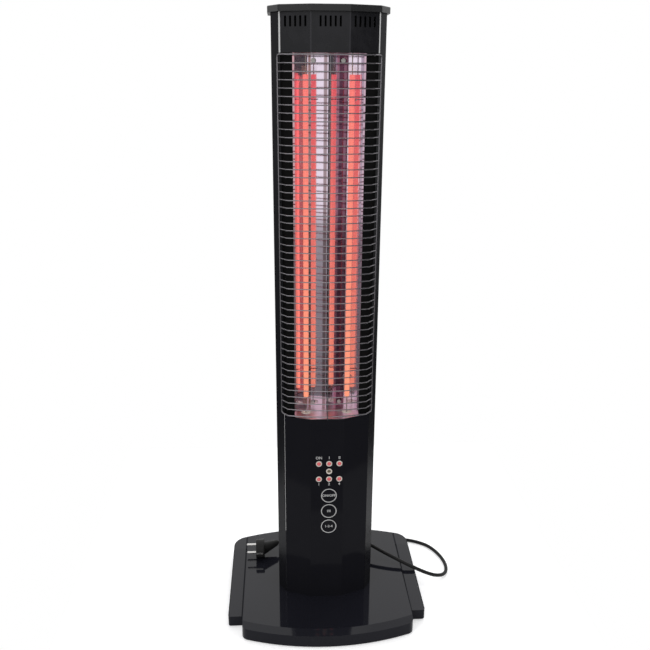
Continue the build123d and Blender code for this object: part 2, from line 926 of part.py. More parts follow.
def mains_rocker():
    """drawn off, with its upper end out"""
    section = Polyline((-rocker_half_height, rocker_tip), (0, rocker_middle), (rocker_half_height, rocker_tip),
                       (rocker_half_height, -rocker_root), (-rocker_half_height, -rocker_root), close=True)
    body = extrude(make_face(section), rocker_half_width, both=True)
    body = fillet(body.edges().filter_by(Axis.Z).sort_by(Axis.Y)[-2:], rocker_play)
    body = Plane(origin=(0, 0, 0), x_dir=(0, 0, -1), z_dir=(1, 0, 0)) * body
    body -= along_x(rocker_pin_radius + rocker_pin_play, 0, 0, -rocker_half_width, rocker_half_width)
    return Pos(rocker_x, rocker_y, rocker_z) * Rot(-rocker_tilt, 0, 0) * body


def mains_switch_body():
    wide, high = switch_half_width(), switch_half_height()
    back = tower_back - rocker_body_depth
    tilt = radians(rocker_tilt)
    floor = rocker_y - rocker_root * cos(tilt) - rocker_half_height * sin(tilt) - rocker_play
    body = block((-wide, wide), (back, tower_back), (-high, high))
    body += block((-wide - rocker_rim, wide + rocker_rim), (tower_back, tower_back + rocker_bezel),
                  (-high - rocker_rim, high + rocker_rim))
    cavity_half = rocker_half_width + rocker_play
    body -= block((-cavity_half, cavity_half), (floor, tower_back + 2 * rocker_bezel),
                  (-switch_swing(), switch_swing()))
    body += along_x(rocker_pin_radius, rocker_y, 0, -wide, wide)
    for side in (-1, 1):
        x = side * blade_half_pitch
        body += block((x - blade_thickness / 2, x + blade_thickness / 2), (back - blade_length, back),
                      (-blade_width / 2, blade_width / 2))
    return Pos(rocker_x, 0, rocker_z) * body


# ---- base ----
wing_half_front = base_center_half - sheet
front_radius = (wing_half_front ** 2 + front_bow ** 2) / (2 * front_bow)
front_center_y = front_radius - base_reach


def base_outline(inset=0.0):
    """plan of the base, drawn in by inset"""
    half, middle = base_half_width - inset, base_center_half - inset
    front, back, wing = front_radius - inset, back_bow_radius - inset, inset - wing_front_reach
    corner_y = front_center_y - (front ** 2 - middle ** 2) ** 0.5
    back_y = base_reach - back_bow_radius + (back ** 2 - half ** 2) ** 0.5
    reach = base_reach - inset
    right = [(middle, corner_y), (middle, wing), (half, wing), (half, back_y)]
    left = [(-x, y) for x, y in reversed(right)]
    outline = Curve() + [
        ThreePointArc(left[-1], (0, -reach), right[0]), Polyline(*right),
        ThreePointArc(right[-1], (0, reach), left[0]), Polyline(*left),
    ]
    face = make_face(outline)
    face = fillet([p for p in face.vertices() if p.Y < wing - sheet], base_front_corner - inset)
    face = fillet([p for p in face.vertices() if p.Y > wing_end], base_back_corner - inset)
    return fillet([p for p in face.vertices() if abs(p.X) > half - sheet and p.Y < 0], wing_corner)


def rim_cut():
    """ring that slopes the front rim"""
    inner, outer = front_radius - rim_width, front_radius + rim_width
    low = base_height - rim_drop * (outer - inner) / rim_width
    section = Polyline((inner, base_height), (outer, low), (outer, base_height + rim_drop),
                       (inner, base_height + rim_drop), close=True)
    ring = revolve(Plane.XZ * make_face(section), Axis.Z)
    return Pos(0, front_center_y, 0) * ring


def wing_cut(width, depth=0.0):
    """wedge over the right wing, from the raised middle out, cut deeper by depth"""
    slope = (base_height - wing_front_height) / (wing_end + wing_front_reach)
    front = -wing_front_reach - rim_width
    low = base_height - slope * (wing_end - front)
    section = Polyline((front, low - depth), (wing_end, base_height - depth),
                       (wing_end, base_height + rim_drop), (front, base_height + rim_drop), close=True)
    return Pos(base_center_half, 0, 0) * extrude(Plane.YZ * make_face(section), width)


def bolt_places():
    return [(sx * bracket_bolt_x, sy * bracket_bolt_y) for sx in (-1, 1) for sy in (-1, 1)]


def cover_screw_places():
    return [(sx * cover_screw_x, sy * cover_screw_y) for sx in (-1, 1) for sy in (-1, 1)]


def foot_places():
    return [(sx * foot_x, sy * foot_y) for sx in (-1, 1) for sy in (-1, 1)]


def base_cover():
    outline = base_outline()
    body = Pos(0, 0, foot_height) * extrude(outline, base_height - foot_height)
    wing = wing_cut(base_half_width + rim_width - base_center_half) + wing_cut(groove_width, groove_depth)
    body -= [wing, mirrored(wing), rim_cut()]
    shallow = base_outline(base_wall)
    body -= Pos(0, 0, foot_height) * extrude(shallow, wing_ceiling - foot_height)
    deep_half = base_center_half - base_wall
    deep = block((-deep_half, deep_half), (rim_width + base_wall - base_reach + front_bow, base_reach),
                 (foot_height, inside_top))
    rim = base_outline(base_edge + base_wall)
    body -= deep & (Pos(0, 0, foot_height) * extrude(rim, inside_top - foot_height))
    for x, y in bolt_places():
        body += upright(boss_radius, x, y, ballast_high, inside_top)
        body -= upright(base_bolt_radius + bolt_play, x, y, foot_height, base_height + sheet)
    for x, y in cover_screw_places():
        body += upright(boss_radius, x, y, ballast_low, inside_top)
        body -= upright(small_screw_radius + bolt_play, x, y, foot_height, ballast_low + case_screw_length)
    return body


def base_bottom_cover():
    plan = base_outline(base_wall + panel_joint)
    plate = Pos(0, 0, foot_height) * extrude(plan, bottom_thickness)
    low, high = foot_height - sheet, ballast_low + sheet
    for x, y in cover_screw_places():
        plate -= upright(small_screw_radius + bolt_play, x, y, low, high)
    for x, y in foot_places():
        plate -= upright(foot_stud_radius + bolt_play, x, y, low, high)
    return plate - upright(plunger_radius + plunger_play, 0, plunger_y, low, high)


def rubber_feet():
    feet = []
    for x, y in foot_places():
        foot = upright(foot_radius, x, y, 0, foot_height)
        foot = fillet(foot.faces().sort_by(Axis.Z)[0].edges(), sheet / 2)
        feet += (foot + upright(foot_stud_radius, x, y, foot_height, ballast_low)).solids()
    return Compound(children=feet)


def ballast_plate():
    plate = block((-ballast_half_width, ballast_half_width), (-ballast_half_depth, ballast_half_depth),
                  (ballast_low, ballast_high))
    for x, y in bolt_places():
        plate -= upright(base_bolt_radius + bolt_play, x, y, ballast_low, ballast_high)
    return plate - upright(plunger_radius + plunger_play, 0, plunger_y, ballast_low, ballast_high)


def column_bracket():
    """plate on the base with side flanges for the profiles and a rear tab"""
    low, high = base_height, base_height + bracket_thickness
    half = front_corner_half - seat
    rear = inner_back - seat
    plate = block((-half, half), (-bracket_half_depth, bracket_half_depth), (low, high))
    plate += block((-bracket_tab_half, bracket_tab_half), (0, rear), (low, high))
    plate += block((-bracket_tab_half, bracket_tab_half), (rear - bracket_thickness, rear),
                   (low, bracket_tab_height))
    flange = block((half - bracket_thickness, half), (-bracket_half_depth, bracket_half_depth),
                   (low, bracket_height))
    plate += flange + mirrored(flange)
    for x, y in bolt_places():
        plate -= upright(base_bolt_radius + bolt_play, x, y, low - sheet, high + sheet)
    plate -= screw_holes(tab_screw_places(), rear - 2 * bracket_thickness, rear + sheet)
    return plate - side_screw_holes()


def side_screw_holes():
    half = front_corner_half + 2 * profile_wall
    return [along_x(small_screw_radius + bolt_play, side * side_screw_y, side_screw_z, -half, half)
            for side in (-1, 1)]


def column_bolts():
    top = base_height + bracket_thickness
    bolts = []
    for x, y in bolt_places():
        head = Pos(x, y, top) * extrude(RegularPolygon(bolt_head_radius, 6), bolt_head)
        bolts += (head + upright(base_bolt_radius, x, y, ballast_low + seat, top)).solids()
    return Compound(children=bolts)


def base_screws():
    screws = []
    for x, y in cover_screw_places():
        head = upright(small_screw_head_radius, x, y, foot_height - small_screw_head, foot_height)
        shank = upright(small_screw_radius, x, y, foot_height, foot_height + case_screw_length)
        screws += (head + shank).solids()
    return Compound(children=screws)


def case_screws():
    screws = []
    for x, z in panel_screw_places() + lip_screw_places() + tab_screw_places():
        screws += screw(x, z, tower_back, case_screw_length).solids()
    face = front_corner_half - seat - bracket_thickness
    for y in (-side_screw_y, side_screw_y):
        head = along_x(small_screw_head_radius, y, side_screw_z, face - small_screw_head, face)
        shank = along_x(small_screw_radius, y, side_screw_z, face, face + case_screw_length)
        screws += pair(head + shank).solids()
    return Compound(children=screws)


def board_screws():
    back = board_face + board_thickness
    screws = [screw(x, z, back, board_screw_length) for x, z in board_posts_places()]
    screws += [screw(x, z, power_front, board_screw_length, 1) for x, z in power_posts_places()]
    return Compound(children=[solid for item in screws for solid in item.solids()])


# ---- tip-over switch ----
collar_low = ballast_high + plunger_travel + plunger_play


def tip_switch_housing():
    top = ballast_high + tip_box_height
    half = tip_box_half
    inner = half - tip_box_wall
    box = block((-half, half), (plunger_y - half, plunger_y + half), (ballast_high, top))
    box -= block((-inner, inner), (plunger_y - inner, plunger_y + inner), (ballast_high, top - tip_box_wall))
    return box


def tip_plunger():
    """pressed in by the floor, so its foot is level with the feet"""
    shaft = upright(plunger_radius, 0, plunger_y, 0, collar_low + plunger_collar)
    shaft = fillet(shaft.faces().sort_by(Axis.Z)[0].edges(), sheet / 2)
    return shaft + upright(plunger_collar_radius, 0, plunger_y, collar_low, collar_low + plunger_collar)


def tip_spring():
    low = collar_low + plunger_collar + tip_spring_wire / 2
    high = ballast_high + tip_box_height - tip_box_wall - tip_spring_wire / 2
    radius = (plunger_radius + plunger_collar_radius) / 2
    line = Helix((high - low) / tip_spring_turns, high - low, radius)
    return Pos(0, plunger_y, low) * swept(line, tip_spring_wire / 2)


# ---- wiring ----
def soft_tube(points, radius):
    """a round tube along straight runs joined by arcs"""
    runs = [(Vector(*b) - Vector(*a)) for a, b in zip(points, points[1:])]
    radii = []
    for first, second in zip(runs, runs[1:]):
        half_turn = radians(first.get_angle(second)) / 2
        radii.append(bend_share * min(first.length, second.length) / tan(half_turn))
    return swept(FilletPolyline(*points, radius=radii), radius), radii


def wire(*points, radius=supply_wire_radius):
    return soft_tube(points, radius)[0].solids()


def internal_wires():
    block_low = power_base + 2 * relay_depth
    block_y = power_front - terminal_block_depth / 2
    way = terminal_block_width / terminal_ways
    lead = wire_lead
    wires = []
    blade_y = tower_back - rocker_body_depth - blade_length
    for x, target in ((blade_half_pitch, 2 * way), (-blade_half_pitch, way)):
        wires += wire((rocker_x + x, blade_y, rocker_z), (rocker_x + x, blade_y - lead, rocker_z),
                      (target, block_y, block_low - 2 * lead), (target, block_y, block_low))
    gland_y = inner_back - relief_flange
    wires += wire((relief_x, gland_y, relief_z), (relief_x, gland_y - lead, relief_z),
                  (relief_x + lead, block_y - lead / 2, relief_z + 4 * lead),
                  (-way, block_y, block_low - 2 * lead), (-way, block_y, block_low), radius=bundle_radius)
    board_x = power_width / 2 - bundle_radius - seat
    low_z = panel_top - terminal_height
    low_end = power_base + power_height / 2 - relay_depth / 2
    high_z = window_top + sheet + terminal_height
    high_end = power_base + power_height - lead
    for side in (-1, 1):
        x, y = side * tube_offset, -tube_reach
        wires += wire((x, y, low_z), (x, y, low_z - lead), (side * (tube_offset + lead / 2), 0, low_z - 4 * lead),
                      (side * board_x, power_front - lead, low_end), (side * board_x, power_front, low_end))
        riser_x, riser_y = side * (shield_half - 2 * lead), shield_set + lead
        wires += wire((x, y, high_z), (x, y, high_z + lead), (riser_x, riser_y, high_z + lead),
                      (riser_x, riser_y, panel_top - 2 * lead),
                      (side * board_x, power_front - lead, high_end), (side * board_x, power_front, high_end))
    row_z = panel_top - board_top_drop - board_height + chip_half
    row_y = board_face + board_thickness + plug_row_height
    end_x = control_x - board_width / 2
    wires += wire((control_x, row_y, row_z), (control_x, row_y + lead, row_z),
                  (end_x, power_front - lead, power_base + lead), (end_x, power_front, power_base + lead),
                  radius=bundle_radius)
    return Compound(children=wires)


# ---- mains cord, its strain relief and the plug ----
def strain_relief():
    root, tip = tower_back, tower_back + relief_length
    sleeve = Cone(relief_root_radius, relief_tip_radius, relief_length)
    body = Pos(relief_x, (root + tip) / 2, relief_z) * Rot(-90, 0, 0) * sleeve
    body += along_y(relief_flange_radius, relief_x, relief_z, tower_back, tower_back + relief_flange)
    body += along_y(relief_root_radius, relief_x, relief_z, inner_back, tower_back)
    body += along_y(relief_flange_radius, relief_x, relief_z, inner_back - relief_flange, inner_back)
    groove = relief_flange
    for n in range(3):
        front = root + 2 * relief_flange + 2 * n * groove
        body -= (along_y(relief_flange_radius, relief_x, relief_z, front, front + groove)
                 - along_y(relief_tip_radius - sheet / 2, relief_x, relief_z, front, front + groove))
    return body


def cord_run():
    """from the strain relief over the base's right edge, round behind and onto the coil"""
    y, z = tower_back + relief_length, relief_z
    low = floor_rest
    points = [
        (relief_x, y, z), (relief_x, y + 27, z), (relief_x + 16, y + 49, z - 0.6),
        (relief_x + 47, y + 58, z - 2), (50, 118, 65), (90, 65.8, 58.2), (177, 11.2, 36.8),
        (224, 6.3, 16), (251.1, 23.3, 5.5), (262.3, 51.1, low + 0.1), (256, 86.5, low),
        (237.6, 124.2, low), (209.4, 143.2, low), (180, 151.9, low), (149, 157.2, low),
        (118, 164.4, low), (88, 168.6, low + 0.2), (50, 170.5, coil_low_turn + 0.5),
        (coil_x + 8, coil_y + outer_turn, coil_low_turn),
    ]
    return soft_tube(points, cord_radius)


def cord_tail():
    """from the coil to the neck of the plug"""
    z = base_height + plug_radius + seat + plug_neck_rise
    points = [
        (-18.3, 149.1, coil_low_turn + 2 * cord_radius), (-43, 138, 42.5), (-66.6, 98.2, z - 1.5),
        (plug_neck_x, plug_neck_y, z),
    ]
    return soft_tube(points, cord_radius)


def cord_coil():
    low = base_height + seat
    section = Pos(coil_radius, coil_height / 2 + low) * RectangleRounded(coil_width, coil_height, cord_radius - sheet)
    ring = revolve(Plane.XZ * section, Axis.Z)
    return Pos(coil_x, coil_y, 0) * ring


def plug_body():
    face, back = plug_face_x, plug_face_x + plug_disc
    z = base_height + plug_radius + seat
    disc = along_x(plug_radius, plug_y, z, face, back)
    disc = fillet(disc.faces().sort_by(Axis.X)[-1].edges(), base_edge)
    shoulder = Plane(origin=(back, plug_y, z), z_dir=(1, 0, 0)) * Circle(plug_shoulder_radius)
    neck = Plane(origin=(plug_neck_x, plug_neck_y, z + plug_neck_rise), z_dir=plug_heading)
    body = disc + loft([shoulder, neck * Circle(plug_neck_radius)])
    for side in (-1, 1):
        edge = plug_y + side * plug_radius
        floor = edge - side * (2 * earth_thickness)
        body -= block((face, face + earth_length), sorted((floor, edge + side)),
                      (z - earth_width / 2, z + earth_width / 2))
    return body


def plug_pins():
    pins = []
    for side in (-1, 1):
        z = base_height + plug_radius + seat + side * pin_pitch / 2
        pin = along_x(pin_radius, plug_y, z, plug_face_x - pin_length, plug_face_x)
        pins += fillet(pin.faces().sort_by(Axis.X)[0].edges(), pin_radius - seat).solids()
    return Compound(children=pins)


def plug_earth_clips():
    z = base_height + plug_radius + seat
    clips = []
    for side in (-1, 1):
        floor = plug_y + side * (plug_radius - 2 * earth_thickness)
        clips += block((plug_face_x, plug_face_x + earth_length), sorted((floor, floor + side * earth_thickness)),
                       (z - earth_width / 2, z + earth_width / 2)).solids()
    return Compound(children=clips)


os.makedirs("parts", exist_ok=True)

save(base_cover(), "base_cover")
save(base_bottom_cover(), "base_bottom_cover")
save(ballast_plate(), "ballast_plate")
save(rubber_feet(), "rubber_feet")
save(base_screws(), "base_screws")
save(column_bracket(), "column_bracket")
save(column_bolts(), "column_bolts")
save(tip_switch_housing(), "tip_switch_housing")
save(tip_plunger(), "tip_plunger")
save(tip_spring(), "tip_spring")

profile = side_profile() - side_screw_holes()
save(mirrored(profile), "side_profile_left")
save(profile, "side_profile_right")
save(head_fascia(), "head_fascia")
save(top_cap(), "top_cap")
save(upper_back_panel(), "upper_back_panel")
save(lower_back_cover(), "lower_back_cover")
save(lower_front_panel(), "lower_front_panel")
save(mirrored(blanking_strip()), "blanking_strip_left")
save(blanking_strip(), "blanking_strip_right")

save(reflector(), "reflector")
save(end_plate(panel_top, end_plate_half, sheet), "reflector_floor_plate")
save(end_plate(window_top, panel_half - panel_wall - seat, panel_wall + seat), "reflector_top_plate")
save(heat_shield(), "heat_shield")
save(along_y(cutout_radius, 0, window_top - cutout_drop, shield_set + sheet,
             shield_set + sheet + cutout_height), "thermal_cutout")
screws, spacers = reflector_screws()
save(screws, "reflector_screws")
save(spacers, "reflector_spacers")
for name, side in (("left", -1), ("right", 1)):
    save(quartz_tube(side), f"quartz_tube_{name}")
    save(filament(side), f"filament_{name}")
save(tube_leads(), "tube_leads")
terminals = [terminal(side, face, direction) for side in (-1, 1)
             for face, direction in ((panel_top, -1), (window_top + sheet, 1))]
save(Compound(children=terminals), "ceramic_terminals")
save(Compound(children=[tube_clip(side, z) for side in (-1, 1) for z in clip_heights()]), "tube_clips")
save(guard(), "guard")

save(Compound(children=[lamp_bezel(x, z) for x, z in lamp_places() + [receiver_place()]]), "lamp_bezels")
save(Compound(children=[lamp(x, z) for x, z in lamp_places()]), "status_lamps")
save(infrared_receiver(), "infrared_receiver")
for name, z in zip(("power", "level", "timer"), button_heights()):
    save(button(z), f"button_{name}")
save(Compound(children=[key_switch(z) for z in button_heights()]), "key_switches")
save(control_board(), "control_board")
save(board_posts(), "board_posts")
save(board_screws(), "board_screws")
save(case_screws(), "case_screws")

save(power_board(), "power_board")
save(power_posts(), "power_board_posts")
save(relays(), "relays")
save(capacitor(), "capacitor")
save(terminal_block(), "terminal_block")
save(internal_wires(), "internal_wires")
save(mains_switch_body(), "mains_switch_body")
save(mains_rocker(), "mains_rocker")

save(strain_relief(), "strain_relief")
for name, (tube, radii) in (("cord_run", cord_run()), ("cord_tail", cord_tail())):
    save(tube, name)
    length = tube.volume / (pi * cord_radius ** 2)
    print(name, "radii", [round(radius, 1) for radius in radii], "length", round(length, 1))
save(cord_coil(), "cord_coil")
save(plug_body(), "plug_body")
save(plug_pins(), "plug_pins")
save(plug_earth_clips(), "plug_earth_clips")
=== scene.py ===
import bpy
import math
from mathutils import Matrix, Vector


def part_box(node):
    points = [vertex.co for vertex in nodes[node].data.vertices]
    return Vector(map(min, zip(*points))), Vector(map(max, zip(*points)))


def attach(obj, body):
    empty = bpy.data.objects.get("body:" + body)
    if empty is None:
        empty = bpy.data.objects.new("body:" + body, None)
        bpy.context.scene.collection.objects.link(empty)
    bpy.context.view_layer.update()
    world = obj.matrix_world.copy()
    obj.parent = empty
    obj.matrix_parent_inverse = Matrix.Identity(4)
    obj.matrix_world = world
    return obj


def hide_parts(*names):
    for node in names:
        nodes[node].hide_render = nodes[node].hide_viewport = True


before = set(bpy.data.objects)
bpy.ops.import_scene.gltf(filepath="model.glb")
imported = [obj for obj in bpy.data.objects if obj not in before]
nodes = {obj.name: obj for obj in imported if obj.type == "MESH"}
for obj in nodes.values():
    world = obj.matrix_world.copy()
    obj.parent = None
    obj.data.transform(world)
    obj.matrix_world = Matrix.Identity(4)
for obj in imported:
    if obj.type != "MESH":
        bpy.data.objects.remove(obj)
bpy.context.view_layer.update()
mm = 0.001
white = (1.0, 1.0, 1.0)
grainDetail, cloudDetail = 2.0, 3.0  # levels of noise in a fine grain and in a cloud
colourMix = {"inputs": (0, 6, 7), "output": 2}  # the Mix node's own sockets for colours
print("frame loaded:", len(nodes), "nodes")


def clearSelection():  # out of edit mode, nothing picked
    if bpy.context.object and bpy.context.object.mode != "OBJECT":
        bpy.ops.object.mode_set(mode="OBJECT")
    bpy.ops.object.select_all(action="DESELECT")


def onlySelect(piece):
    clearSelection()
    piece.select_set(True)
    bpy.context.view_layer.objects.active = piece


def settle(piece, name):  # its place goes into the mesh, the object stays at the origin
    onlySelect(piece)
    bpy.ops.object.transform_apply(location=True, rotation=True, scale=True)
    piece.name = name
    piece.data.name = name
    return piece


def applyModifiers(piece):
    onlySelect(piece)
    for modifier in list(piece.modifiers):
        bpy.ops.object.modifier_apply(modifier=modifier.name)


def faceOutward(piece):
    onlySelect(piece)
    bpy.ops.object.mode_set(mode="EDIT")
    bpy.ops.mesh.select_all(action="SELECT")
    bpy.ops.mesh.normals_make_consistent(inside=False)
    bpy.ops.object.mode_set(mode="OBJECT")


def joinPieces(pieces, name):
    clearSelection()
    for piece in pieces:
        piece.select_set(True)
    bpy.context.view_layer.objects.active = pieces[0]
    if len(pieces) > 1:
        bpy.ops.object.join()
    return settle(bpy.context.view_layer.objects.active, name)


def grey(level):
    return (level, level, level)


def scaled(colour, factor):
    return tuple(c * factor for c in colour)


def opaque(colour):
    return (*colour, 1.0)


class Value:  # a socket that takes + - * / as nodes
    def __init__(self, graph, socket):
        self.graph = graph
        self.socket = socket

    def maths(self, operation, *values):
        return self.graph.add("ShaderNodeMath", {"operation": operation}, values)

    def __add__(self, other):
        return self.maths("ADD", self, other)

    def __radd__(self, other):
        return self.maths("ADD", other, self)

    def __sub__(self, other):
        return self.maths("SUBTRACT", self, other)

    def __rsub__(self, other):
        return self.maths("SUBTRACT", other, self)

    def __mul__(self, other):
        return self.maths("MULTIPLY", self, other)

    def __truediv__(self, other):
        return self.maths("DIVIDE", self, other)

    def __lt__(self, other):
        return self.maths("LESS_THAN", self, other)

    def __gt__(self, other):
        return self.maths("GREATER_THAN", self, other)

    def highest(self, other):
        return self.maths("MAXIMUM", self, other)

    def sine(self):
        return self.maths("SINE", self)

    def size(self):
        return self.maths("ABSOLUTE", self)

    def angleTo(self, other):
        return self.maths("ARCTAN2", self, other)


class Graph:  # nodes of a material or of the world
    def __init__(self, tree):
        self.tree = tree

    def add(self, kind, settings=None, values=(), output=0):
        node = self.tree.nodes.new(kind)
        for key, value in (settings or {}).items():
            if key == "ramp":
                elements = node.color_ramp.elements
                while len(elements) < len(value):
                    elements.new(1.0)
                for element, (place, colour) in zip(elements, value):
                    element.position = place
                    element.color = opaque(colour)
            else:
                setattr(node, key, value)
        for key, value in (values.items() if isinstance(values, dict) else enumerate(values)):
            if isinstance(value, Value):
                self.tree.links.new(value.socket, node.inputs[key])
            elif value is not None:
                node.inputs[key].default_value = value
        return Value(self, node.outputs[output])

    def objectPlace(self):
        return self.add("ShaderNodeTexCoord", output="Object")

    def split(self, vector):
        node = self.add("ShaderNodeSeparateXYZ", None, [vector]).socket.node
        return [Value(self, node.outputs[axis]) for axis in "XYZ"]

    def axes(self):  # place on the object, in metres
        return self.split(self.objectPlace())

    def normals(self):  # the way the surface faces
        return self.split(self.add("ShaderNodeNewGeometry", output="Normal"))

    def noise(self, size, detail=grainDetail, roughness=0.5, scale=(1.0, 1.0, 1.0)):
        place = self.add("ShaderNodeMapping", None, {"Vector": self.objectPlace(), "Scale": scale})
        return self.add("ShaderNodeTexNoise", None, {
            "Vector": place, "Scale": size, "Detail": detail, "Roughness": roughness})

    def ramp(self, value, stops):
        return self.add("ShaderNodeValToRGB", {"ramp": stops}, [value])

    def span(self, value, limits, low=0.0, high=1.0):  # low before the limits, high after them
        return self.add("ShaderNodeMapRange", None, {
            "Value": value, "From Min": limits[0], "From Max": limits[1],
            "To Min": low, "To Max": high})

    def band(self, value, low, high, edge):  # 1 between low and high, with soft edges
        rise = self.span(value, (low - edge, low + edge))
        return rise * self.span(value, (high - edge, high + edge), 1.0, 0.0)

    def mixColour(self, mask, first, second):
        colours = [opaque(c) if isinstance(c, tuple) else c for c in (first, second)]
        values = dict(zip(colourMix["inputs"], (mask, *colours)))
        return self.add("ShaderNodeMix", {"data_type": "RGBA"}, values, colourMix["output"])

    def seenRays(self):  # the camera's own rays, and those mirrored or let through on their way
        node = self.add("ShaderNodeLightPath").socket.node
        kinds = ("Is Camera Ray", "Is Glossy Ray", "Is Transmission Ray")
        camera, glossy, clear = (Value(self, node.outputs[kind]) for kind in kinds)
        return camera, glossy.highest(clear)


class Shader(Graph):  # one material with its main shader
    def __init__(self, name, **constants):
        self.material = bpy.data.materials.new(name)
        self.material.use_nodes = True
        super().__init__(self.material.node_tree)
        self.main = self.tree.nodes["Principled BSDF"]
        for socket, value in constants.items():
            self.set(socket.replace("_", " "), value)

    def set(self, socket, value):
        if isinstance(value, Value):
            self.tree.links.new(value.socket, self.main.inputs[socket])
        elif isinstance(value, tuple) and len(value) == 3:
            self.main.inputs[socket].default_value = opaque(value)
        else:
            self.main.inputs[socket].default_value = value

    def bump(self, height, strength, distance=0.0005):
        self.set("Normal", self.add("ShaderNodeBump", None, {
            "Height": height, "Strength": strength, "Distance": distance}))


cameraSettings = {  # metres, degrees, and millimetres of the lens
    "place": (-0.07814, -1.24153, 0.97815), "yaw": 3.523, "pitch": 18.599, "roll": 0.384,
    "lens": 40.97, "sensor": 36.0,
}


def makeCamera():
    s = cameraSettings
    data = bpy.data.cameras.new("viewCamera")
    data.lens, data.sensor_width = s["lens"], s["sensor"]
    camera = bpy.data.objects.new("viewCamera", data)
    bpy.context.scene.collection.objects.link(camera)
    turn = (Matrix.Rotation(math.radians(-s["yaw"]), 4, "Z")
            @ Matrix.Rotation(math.radians(90 - s["pitch"]), 4, "X")
            @ Matrix.Rotation(math.radians(s["roll"]), 4, "Z"))
    camera.matrix_world = Matrix.Translation(s["place"]) @ turn
    bpy.context.scene.camera = camera


makeCamera()
print("camera placed")

cord = {  # millimetres and degrees; the length is in metres
    "radius": 3.5, "length": 1.88, "roundness": 5, "smoothness": 6,
    "coilCentre": (0.0, 108.0), "outerTurn": 45.0, "innerTurn": 38.0,
    "lowTurn": 33.8, "highTurn": 40.8,
    "turns": 4, "stepsPerTurn": 16, "enterAngle": 90.0, "leaveAngle": 114.0,
    "inwardFrom": 0.75, "upwardFrom": 1.75, "outwardFrom": 2.75, "changeOver": 0.5,
    "run": [
        (-41, 78, 70), (-41, 105, 70), (-25, 127, 69.4), (6, 136, 68), (50, 118, 65),
        (90, 65.8, 58.2), (177, 11.2, 36.8), (224, 6.3, 16), (251.1, 23.3, 5.5),
        (260.6, 51.1, 3.7), (256, 86.5, 3.6), (237.6, 124.2, 3.6), (209.4, 143.2, 3.6),
        (180, 151.9, 3.6), (149, 157.2, 3.6), (118, 164.4, 3.6), (88, 168.2, 3.8),
        (50, 169.5, 34.3),
    ],
    "tail": [(-43, 138, 42.5), (-66.6, 98.2, 49.5), (-94, 86, 51)],
}


def shareMoved(turn, start):  # from 0 to 1 over half a turn after the start
    return min(max(turn - start, 0.0) / cord["changeOver"], 1.0)


def coilPoints():  # four turns: in on the lower layer, up, and out on the upper one
    s = cord
    steps = s["stepsPerTurn"]
    extra = round(steps * (s["leaveAngle"] - s["enterAngle"]) / 360)
    points = []
    for n in range(s["turns"] * steps + extra + 1):
        turn = n / steps
        angle = math.radians(s["enterAngle"]) + 2 * math.pi * turn
        inward = shareMoved(turn, s["inwardFrom"]) - shareMoved(turn, s["outwardFrom"])
        upward = shareMoved(turn, s["upwardFrom"])
        radius = s["outerTurn"] + (s["innerTurn"] - s["outerTurn"]) * inward
        height = s["lowTurn"] + (s["highTurn"] - s["lowTurn"]) * upward
        points.append((s["coilCentre"][0] + radius * math.cos(angle),
                       s["coilCentre"][1] + radius * math.sin(angle), height))
    return points


def makeCord():
    points = cord["run"] + coilPoints() + cord["tail"]
    data = bpy.data.curves.new("mainsCord", "CURVE")
    data.dimensions = "3D"
    data.bevel_depth = 1.0  # times each point's radius
    data.bevel_resolution = cord["roundness"]
    data.resolution_u = cord["smoothness"]
    spline = data.splines.new("NURBS")
    spline.points.add(len(points) - 1)
    for point, place in zip(spline.points, points):
        point.co = (*[c * mm for c in place], 1.0)  # the last is the point's weight
        point.radius = cord["radius"] * mm
    spline.order_u = 3
    spline.use_endpoint_u = True
    piece = bpy.data.objects.new("mainsCord", data)
    bpy.context.scene.collection.objects.link(piece)
    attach(piece, "heater")
    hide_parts("cord_run", "cord_coil", "cord_tail")
    return piece


mainsCord = makeCord()
print("cord laid")

legend = {  # millimetres; a ring and a word on each key, a mark at each lamp
    "ringRadius": 14.3, "ringSides": 72, "line": 1.5, "thickness": 0.12,
    "wordSize": 6.8, "markSize": 7.4, "bolder": 0.12, "letterSteps": 3,
    "keys": [("power_button", "button_power", "ON/OFF"), ("level_button", "button_level", "I/II"),
             ("timer_button", "button_timer", "1-2-4")],
    "middle": 3.8, "lampPitch": 18.5, "upperRow": 316.4, "lowerRow": 285.2,
    "marksAbove": ("ON", "I", "II"), "markRise": 11.6,
    "marksBelow": ("1", "2", "4"), "markDrop": 10.6,
}


def makeWord(text, size, x, y, z, name):  # a printed word that faces the front
    clearSelection()
    bpy.ops.object.text_add(location=(0, 0, 0))
    word = bpy.context.object
    word.data.body = text
    word.data.size = size * mm
    word.data.align_x, word.data.align_y = "CENTER", "CENTER"
    word.data.extrude = legend["thickness"] * mm / 2
    word.data.resolution_u = legend["letterSteps"]
    word.data.offset = legend["bolder"] * mm
    bpy.ops.object.convert(target="MESH")
    word = bpy.context.object
    word.location, word.rotation_euler = (x, y, z), (math.radians(90), 0, 0)
    return settle(word, name)


def makeRing(x, y, z, name):  # a disc with its middle cut out, then given a thickness
    clearSelection()
    bpy.ops.mesh.primitive_circle_add(
        vertices=legend["ringSides"], radius=legend["ringRadius"] * mm, fill_type="NGON",
        location=(x, y, z), rotation=(math.radians(90), 0, 0))
    ring = bpy.context.object
    bpy.ops.object.mode_set(mode="EDIT")
    bpy.ops.mesh.select_all(action="SELECT")
    bpy.ops.mesh.inset(thickness=legend["line"] * mm)
    bpy.ops.mesh.delete(type="FACE")
    bpy.ops.object.mode_set(mode="OBJECT")
    faceOutward(ring)
    solid = ring.modifiers.new("thickness", "SOLIDIFY")
    solid.thickness, solid.offset = legend["thickness"] * mm, 0.0
    applyModifiers(ring)
    faceOutward(ring)
    return settle(ring, name)


